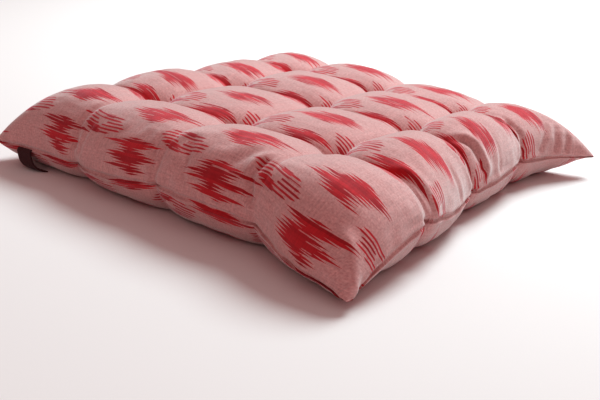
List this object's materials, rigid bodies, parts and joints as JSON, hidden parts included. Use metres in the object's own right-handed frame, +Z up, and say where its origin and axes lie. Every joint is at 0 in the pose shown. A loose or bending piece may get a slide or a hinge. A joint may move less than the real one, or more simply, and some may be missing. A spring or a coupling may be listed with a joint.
{
  "type": "tufted chair pad",
  "caption": "Square tufted chair pad in feathered ikat cotton, stuffed and knife-edged, with a tape tie at one corner, lying flat to soften a seat",
  "frame": {"origin": "on the surface the pad lies on, under the middle of its outline", "axes": "+Z up through the pad's thickness, X and Y along the sides; the near corner of the picture points to -X -Y, and the striping of the weave runs along Y"},
  "size_m": [0.4, 0.4, 0.0744],
  "materials": {
    "ikat_cotton": "plain woven cotton, pink heathered ground with feathered red ikat motifs, matt with a faint fibre sheen",
    "tape": "dark maroon cotton tape, matt"
  },
  "bodies": {
    "root": {"pad": "ikat_cotton", "corner_tie": "tape"}
  },
  "joints": []
}
